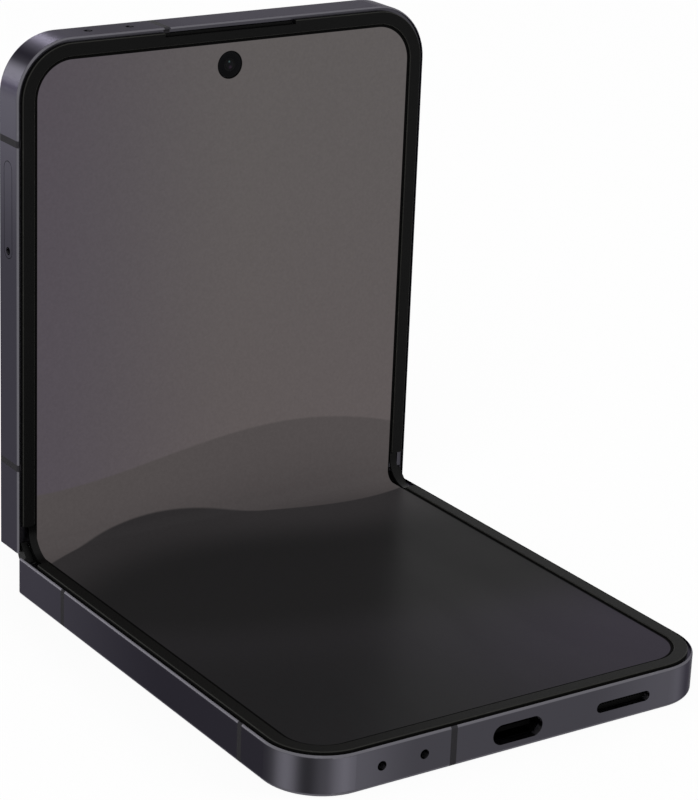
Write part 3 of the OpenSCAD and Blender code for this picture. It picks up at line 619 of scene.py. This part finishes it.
# half is lower, upper or fold; the fold carries its place on the sheet in an attribute
def screenFilm(name, half):
    material, tree, shader = startMaterial(name)
    if half == "fold":
        place = put(tree, "Attribute", attribute_name="sheetPlace", attribute_type="GEOMETRY")
        split = put(tree, "SeparateXYZ", {0: place.outputs["Vector"]}).outputs
        across, along = split["X"], split["Y"]
    else:
        split = put(tree, "SeparateXYZ", {0: put(tree, "TexCoord").outputs["Object"]}).outputs
        across = calc(tree, "MULTIPLY", split["X"], perMetre)
        if half == "lower":
            along = calc(tree, "MULTIPLY_ADD", split["Y"], perMetre, -phone["axisY"])
        else:
            along = calc(tree, "MULTIPLY_ADD", split["Z"], perMetre, -phone["axisZ"])
    lit = litArea(tree, across, along)
    shown = mixColour(tree, lit, screenLook["unlit"], paintPicture(tree, across, along))
    speck = useGroup(tree, grainGroup, Size=screenLook["grain"], Low=1 - screenLook["speckle"],
                     High=1 + screenLook["speckle"], Drift=0.0)["Roughness"]
    join(tree, scaleColour(tree, shown, speck), shader, "Emission Color")
    join(tree, addWipes(tree, screenLook), shader, "Roughness")
    gloss = between(tree, lit, screenLook["border"], screenLook["gloss"])
    join(tree, gloss, shader, "Specular IOR Level")
    shader.inputs["Emission Strength"].default_value = screenLook["glow"]
    shader.inputs["Base Color"].default_value = screenLook["base"]
    return material


lowerFilm = screenFilm("screenLower", "lower")
upperFilm = screenFilm("screenUpper", "upper")
foldFilm = screenFilm("screenFold", "fold")
print("screen picture drawn")

finishes = {
    "lower_frame": metalLowerPaintedSheens,
    "lower_back_cover": frostedGlass,
    "lower_rim": rimLower,
    "lower_antenna_bands": bandLower,
    "lower_display": lowerFilm,
    "lower_support_plate": steelSheet,
    "lower_wing_plate": steelSheet,
    "lower_rotators": groundSteel,
    "lower_battery": cellWrap,
    "sub_board": boardGreen,
    "usb_shell": portSteelPaintedShade,
    "usb_tongue": portBlack,
    "loudspeaker": blackPlastic,
    "speaker_mesh": blackPlastic,
    "microphones": blackPlastic,
    "vibration_motor": steelSheet,
    "charging_coil": copperCoil,
    "lower_screws": steelSheet,
    "spine_cover": metalSpine,
    "spine_end_caps": capPlastic,
    "hinge_brackets": groundSteel,
    "disc_springs": steelSheet,
    "lower_sync_arms": groundSteel,
    "lower_hinge_shafts": steelSheet,
    "lower_idlers": groundSteel,
    "upper_sync_arms": groundSteel,
    "upper_hinge_shafts": steelSheet,
    "upper_idlers": groundSteel,
    "upper_frame": metalUpperPaintedSheens,
    "cover_glass": coverGlass,
    "cover_display": blackPlastic,
    "upper_rim": rimUpper,
    "upper_antenna_bands": bandUpper,
    "upper_display": upperFilm,
    "upper_support_plate": steelSheet,
    "upper_wing_plate": steelSheet,
    "upper_rotators": groundSteel,
    "upper_battery": cellWrap,
    "main_board": boardGreen,
    "board_shields": steelSheet,
    "earpiece": blackPlastic,
    "earpiece_mesh": blackPlastic,
    "front_camera": blackPlastic,
    "main_camera": blackPlastic,
    "wide_camera": blackPlastic,
    "camera_rings": metalUpperPaintedSheens,
    "camera_windows": lensGlass,
    "flash_lens": flashPlastic,
    "card_reader": steelSheet,
    "key_switches": goldPlate,
    "top_microphones": blackPlastic,
    "upper_screws": steelSheet,
    "card_tray": metalUpperPaintedSheens,
    "volume_key": metalUpperPaintedSheens,
    "power_key": metalUpperPaintedSheens,
}
for name, material in finishes.items():
    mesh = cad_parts[name].data
    mesh.materials.clear()
    mesh.materials.append(material)
print("finishes laid on the frame's parts")


# Faces that meet at less than crease degrees are shaded as one; 0 leaves every face flat
def addPiece(name, points, faces, material, crease=35):
    mesh = bpy.data.meshes.new(name)
    mesh.from_pydata([tuple(p) for p in points], [], faces)
    mesh.update()
    mesh.materials.append(material)
    piece = bpy.data.objects.new(name, mesh)
    bpy.context.scene.collection.objects.link(piece)
    if crease:
        mesh.shade_smooth()
        mesh.set_sharp_from_angle(angle=math.radians(crease))
    return piece


# A strip of sheet: rows of (top point, bottom point, run) swept from x0 to x1
def addStrip(name, rows, x0, x1, material):
    points, runs, faces = [], [], []
    for top, bottom, run in rows:
        for x, p in ((x0, top), (x1, top), (x1, bottom), (x0, bottom)):
            points.append(Vector((x * mm, p[1], p[2])))
            runs.append((x, run, 0.0))
    last = len(rows) - 1
    for i in range(last):
        for k in range(4):
            a, b = 4 * i + k, 4 * i + (k + 1) % 4
            faces.append((a, b, b + 4, a + 4))
    faces.append((3, 2, 1, 0))
    faces.append((4 * last, 4 * last + 1, 4 * last + 2, 4 * last + 3))
    piece = addPiece(name, points, faces, material)
    place = piece.data.attributes.new("sheetPlace", "FLOAT_VECTOR", "POINT")
    for i, run in enumerate(runs):
        place.data[i].vector = run
    return piece


# Straight leg on one half from u0 to u1; sign is -1 on the lower half, where rows run to the fold
def legRows(pointOn, sign, depth, thick, u0, u1, steps=4):
    rows = []
    for step in range(steps + 1):
        u = u0 + (u1 - u0) * step / steps
        rows.append((pointOn(0, u, depth), pointOn(0, u, depth + thick), sign * u))
    return rows if sign > 0 else rows[::-1]


# Bend whose straight legs lie depth below the screens' plane; radius is that of its inner side
def bendRows(depth, thick, radius, steps):
    height = phone["lift"] + depth
    centre = Vector((0, phone["axisY"] - (radius - height), phone["axisZ"] + radius - height))
    rows = []
    for step in range(steps + 1):
        angle = -math.pi / 2 * (1 - step / steps)
        out = Vector((0, math.cos(angle), math.sin(angle)))
        run = (angle + math.pi / 4) * radius
        rows.append(((centre + out * radius) * mm, (centre + out * (radius + thick)) * mm, run))
    return rows


# The bend turns with the spine, on a mesh of its own
def flattenAcross(piece):
    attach(piece, "spine")
    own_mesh(piece)


# Each half: its name, its points, the sign of its places on the sheet, and its body
halves = (("Lower", lowerPoint, -1, "lower_half"), ("Upper", upperPoint, 1, "upper_half"))
sides = (("Left", -1), ("Right", 1))

foldSheet = {
    "bendRadius": 1.864,
    "steps": 32,
    "depth": 0,
    "thick": 0.65,
    "halfWidth": 34.35,
    "legStart": 1.15,
    "legEnd": 4.6,
}
x0, x1 = -foldSheet["halfWidth"], foldSheet["halfWidth"]
depth, thick = foldSheet["depth"], foldSheet["thick"]
rows = bendRows(depth, thick, foldSheet["bendRadius"], foldSheet["steps"])
sheetBend = addStrip("screenBend", rows, x0, x1, foldFilm)
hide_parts("display_fold")
flattenAcross(sheetBend)
for half, pointOn, sign, body in halves:
    rows = legRows(pointOn, sign, depth, thick, foldSheet["legStart"], foldSheet["legEnd"])
    leg = addStrip("screenLeg" + half, rows, x0, x1, foldFilm)
    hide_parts("display_fold")
    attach(leg, body)

borderStrip = {
    "bendRadius": 4.45,
    "steps": 40,
    "depth": -0.1,
    "thick": 0.35,
    "inner": 34.45,
    "outer": 35.75,
    "legStart": 3.0,
    "legEnd": 4.45,
}
depth, thick = borderStrip["depth"], borderStrip["thick"]
for side, way in sides:
    x0, x1 = sorted((way * borderStrip["inner"], way * borderStrip["outer"]))
    rows = bendRows(depth, thick, borderStrip["bendRadius"], borderStrip["steps"])
    strip = addStrip("border" + side, rows, x0, x1, borderFilm)
    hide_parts("fold_borders")
    flattenAcross(strip)
    for half, pointOn, sign, body in halves:
        rows = legRows(pointOn, sign, depth, thick, borderStrip["legStart"], borderStrip["legEnd"])
        leg = addStrip("border" + side + half, rows, x0, x1, borderFilm)
        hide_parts("fold_borders")
        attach(leg, body)
print("screen and borders carried across the fold")

# Ribbon cables bend about the fold axis itself
ribbon = {
    "radius": 2.2,
    "thick": 0.2,
    "inner": 5.0,
    "outer": 11.0,
    "reach": 13.8,
    "legSteps": 8,
    "bendSteps": 24,
}
innerRadius = ribbon["radius"] - ribbon["thick"] / 2
depth, thick = innerRadius - phone["lift"], ribbon["thick"]
for side, way in sides:
    x0, x1 = sorted((way * ribbon["inner"], way * ribbon["outer"]))
    rows = legRows(lowerPoint, -1, depth, thick, 0, ribbon["reach"], ribbon["legSteps"])
    rows += bendRows(depth, thick, innerRadius, ribbon["bendSteps"])[1:-1]
    rows += legRows(upperPoint, 1, depth, thick, 0, ribbon["reach"], ribbon["legSteps"])
    cable = addStrip("ribbon" + side, rows, x0, x1, ribbonFilm)
    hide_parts("flex_cables")
    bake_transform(cable)
print("ribbon cables bent")


# A turned piece: profile of (radius, height) about a line through centre along way
def addTurned(name, profile, centre, way, material, steps=64):
    up = Vector(way).normalized()
    side = up.orthogonal().normalized()
    other = up.cross(side)
    points, faces = [], []
    for radius, height in profile:
        for k in range(steps):
            turn = 2 * math.pi * k / steps
            out = side * math.cos(turn) + other * math.sin(turn)
            points.append(centre + out * radius * mm + up * height * mm)
    for i in range(len(profile) - 1):
        for k in range(steps):
            a, b = i * steps + k, i * steps + (k + 1) % steps
            faces.append((a, b, b + steps, a + steps))
    faces.append(tuple(range(steps))[::-1])
    faces.append(tuple(range((len(profile) - 1) * steps, len(profile) * steps)))
    return addPiece(name, points, faces, material)


# Lens whose foot is at base; its skirt goes down into the seat, and tip is the flat left on top
def domeProfile(radius, rise, base, skirt=0.05, tip=0.02, steps=8):
    sphere = (radius ** 2 + rise ** 2) / (2 * rise)
    profile = [(radius, base - skirt)]
    for step in range(steps):
        r = radius * (1 - step / steps)
        profile.append((r, base + math.sqrt(sphere ** 2 - r ** 2) - (sphere - rise)))
    profile.append((tip, base + rise))
    return profile


# Dark window over the front camera, with a low lip round its lens; lens is radius, rise and base
frontCamera = {
    "place": (0, 76.4),
    "depth": 0.1,
    "window": [(2.08, -0.06), (2.08, 0.02), (2.04, 0.04), (1.12, 0.04), (1.06, 0.055), (1.0, 0.04),
               (0.94, 0.0), (0.92, -0.05)],
    "lens": (0.9, 0.12, -0.05),
}
seat = upperPoint(*frontCamera["place"], frontCamera["depth"])
window = addTurned("frontWindow", frontCamera["window"], seat, (0, -1, 0), frontMask)
bead = addTurned("frontLens", domeProfile(*frontCamera["lens"]), seat, (0, -1, 0), lensPaintedGlints)
for piece in (window, bead):
    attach(piece, "upper_half")
print("front camera dressed")

# Rear cameras: a flat glass rim, black steps down inside it, and a domed coated lens.
# Heights are counted from the rim, and top is how far that stands behind the screen
rearCamera = {
    "places": (("main", 27.0), ("wide", 13.5)),
    "along": 72.5,
    "top": 7.45,
    "window": [(3.78, -1.45), (3.78, -0.04), (3.73, 0.0), (2.55, 0.0), (2.5, -0.12), (2.25, -0.16),
               (2.2, -0.34), (1.9, -0.4), (1.8, -0.6), (1.5, -0.64)],
    "windowSteps": 96,
    "lens": (1.48, 0.34, -0.62),
}
for label, x in rearCamera["places"]:
    seat = upperPoint(x, rearCamera["along"], rearCamera["top"])
    window = addTurned(label + "Window", rearCamera["window"], seat, (0, 1, 0), lensBarrel,
                       steps=rearCamera["windowSteps"])
    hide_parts("camera_windows")
    dome = domeProfile(*rearCamera["lens"])
    lens = addTurned(label + "Lens", dome, seat, (0, 1, 0), lensPaintedGlints)
    for piece in (window, lens):
        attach(piece, "upper_half")

flash = {
    "place": (4.0, 72.5),
    "base": 5.85,
    "ribs": [(1.5, 0.0), (1.5, 0.6), (1.43, 0.64), (1.2, 0.64), (1.14, 0.56), (0.95, 0.61), (0.89, 0.53),
             (0.7, 0.59), (0.64, 0.51), (0.4, 0.57), (0.02, 0.6)],
}
seat = upperPoint(*flash["place"], flash["base"])
lamp = addTurned("flashRibs", flash["ribs"], seat, (0, 1, 0), flashPlastic)
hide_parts("flash_lens")
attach(lamp, "upper_half")
print("rear cameras dressed")

# Gold contact pads on both faces of the charging port's tongue: tongue is half its thickness,
# sunk how far a pad goes into it, and taper how wide a pad's top is beside its foot
contacts = {
    "count": 12,
    "pitch": 0.5,
    "width": 0.26,
    "first": 77.6,
    "last": 81.2,
    "depth": 3.5,
    "tongue": 0.35,
    "sunk": 0.02,
    "proud": 0.03,
    "taper": 0.75,
}
outline = ((-1, -contacts["sunk"]), (1, -contacts["sunk"]), (contacts["taper"], contacts["proud"]),
           (-contacts["taper"], contacts["proud"]))
points, faces = [], []
for face in (-1, 1):
    for k in range(contacts["count"]):
        x = (k - (contacts["count"] - 1) / 2) * contacts["pitch"]
        base = len(points)
        for u in (contacts["first"], contacts["last"]):
            for dx, rise in outline:
                depth = contacts["depth"] + face * (contacts["tongue"] + rise)
                points.append(lowerPoint(x + dx * contacts["width"] / 2, u, depth))
        for a in range(4):
            b = (a + 1) % 4
            faces.append((base + a, base + b, base + b + 4, base + a + 4))
        faces += [(base + 3, base + 2, base + 1, base), (base + 4, base + 5, base + 6, base + 7)]
pads = addPiece("portContacts", points, faces, goldPlate, crease=0)
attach(pads, "lower_half")
print("port contacts set")

# Pale floor and even studio light, in metres and watts; a lamp has its name, place, size and power
studio = {
    "floorSize": 6.0,
    "floorDrop": 0.00005,
    "floorColour": (0.90, 0.90, 0.90, 1),
    "floorRough": 0.9,
    "white": (1, 1, 1, 1),
    "whiteShare": 0.93,
    "skyStrength": 0.55,
    "aim": (0, 0.02, 0.04),
    "softLamps": [
        ("keyLamp", (-0.9, -0.9, 1.1), 0.9, 12.0),
        ("fillLamp", (1.1, -0.7, 0.8), 0.7, 7.0),
    ],
    "rimLamps": [
        ("backLamp", (0.25, 1.25, 0.62), 0.22, 1.8),
        ("backStrip", (-0.65, 1.2, 0.10), 0.2, 2.8),
    ],
}


# The camera, mirrors and clear glass see plain white; all other light comes from the studio
def seesWhite(tree):
    rays = put(tree, "LightPath").outputs
    both = calc(tree, "MAXIMUM", rays["Is Camera Ray"], rays["Is Glossy Ray"])
    return calc(tree, "MAXIMUM", both, rays["Is Transmission Ray"])


def buildFloor():
    size, z = studio["floorSize"] / 2, -studio["floorDrop"]
    mesh = bpy.data.meshes.new("floor")
    corners = [(-size, -size, z), (size, -size, z), (size, size, z), (-size, size, z)]
    mesh.from_pydata(corners, [], [(0, 1, 2, 3)])
    floor = bpy.data.objects.new("floor", mesh)
    bpy.context.scene.collection.objects.link(floor)
    material, tree, shader = startMaterial("paleFloor")
    shader.inputs["Base Color"].default_value = studio["floorColour"]
    shader.inputs["Roughness"].default_value = studio["floorRough"]
    shader.inputs["Specular IOR Level"].default_value = 0.0
    white = put(tree, "Emission", {"Color": studio["white"], "Strength": 1.0})
    share = calc(tree, "MULTIPLY", seesWhite(tree), studio["whiteShare"])
    mixed = put(tree, "MixShader", {0: share, 1: shader.outputs[0], 2: white.outputs[0]})
    tree.links.new(mixed.outputs[0], tree.nodes["Material Output"].inputs["Surface"])
    mesh.materials.append(material)


def buildSky():
    world = bpy.data.worlds.new("studioSky")
    bpy.context.scene.world = world
    world.use_nodes = True
    tree = world.node_tree
    soft = tree.nodes["Background"]
    soft.inputs["Color"].default_value = studio["white"]
    soft.inputs["Strength"].default_value = studio["skyStrength"]
    white = put(tree, "Background", {"Color": studio["white"], "Strength": 1.0})
    mixed = put(tree, "MixShader", {0: seesWhite(tree), 1: soft.outputs[0], 2: white.outputs[0]})
    tree.links.new(mixed.outputs[0], tree.nodes["World Output"].inputs["Surface"])


# mirrored says whether glossy faces show the lamp; the soft ones only add even light
def hangLamp(name, place, size, power, mirrored):
    data = bpy.data.lights.new(name, "AREA")
    data.shape = "SQUARE"
    data.size = size
    data.energy = power
    lamp = bpy.data.objects.new(name, data)
    lamp.location = place
    lamp.visible_glossy = mirrored
    aim = Vector(studio["aim"]) - Vector(place)
    lamp.rotation_euler = aim.to_track_quat("-Z", "Y").to_euler()
    bpy.context.scene.collection.objects.link(lamp)


buildFloor()
buildSky()
for lamp in studio["softLamps"]:
    hangLamp(*lamp, False)
for lamp in studio["rimLamps"]:
    hangLamp(*lamp, True)
bpy.context.scene.view_settings.view_transform = "Standard"
print("studio lit")
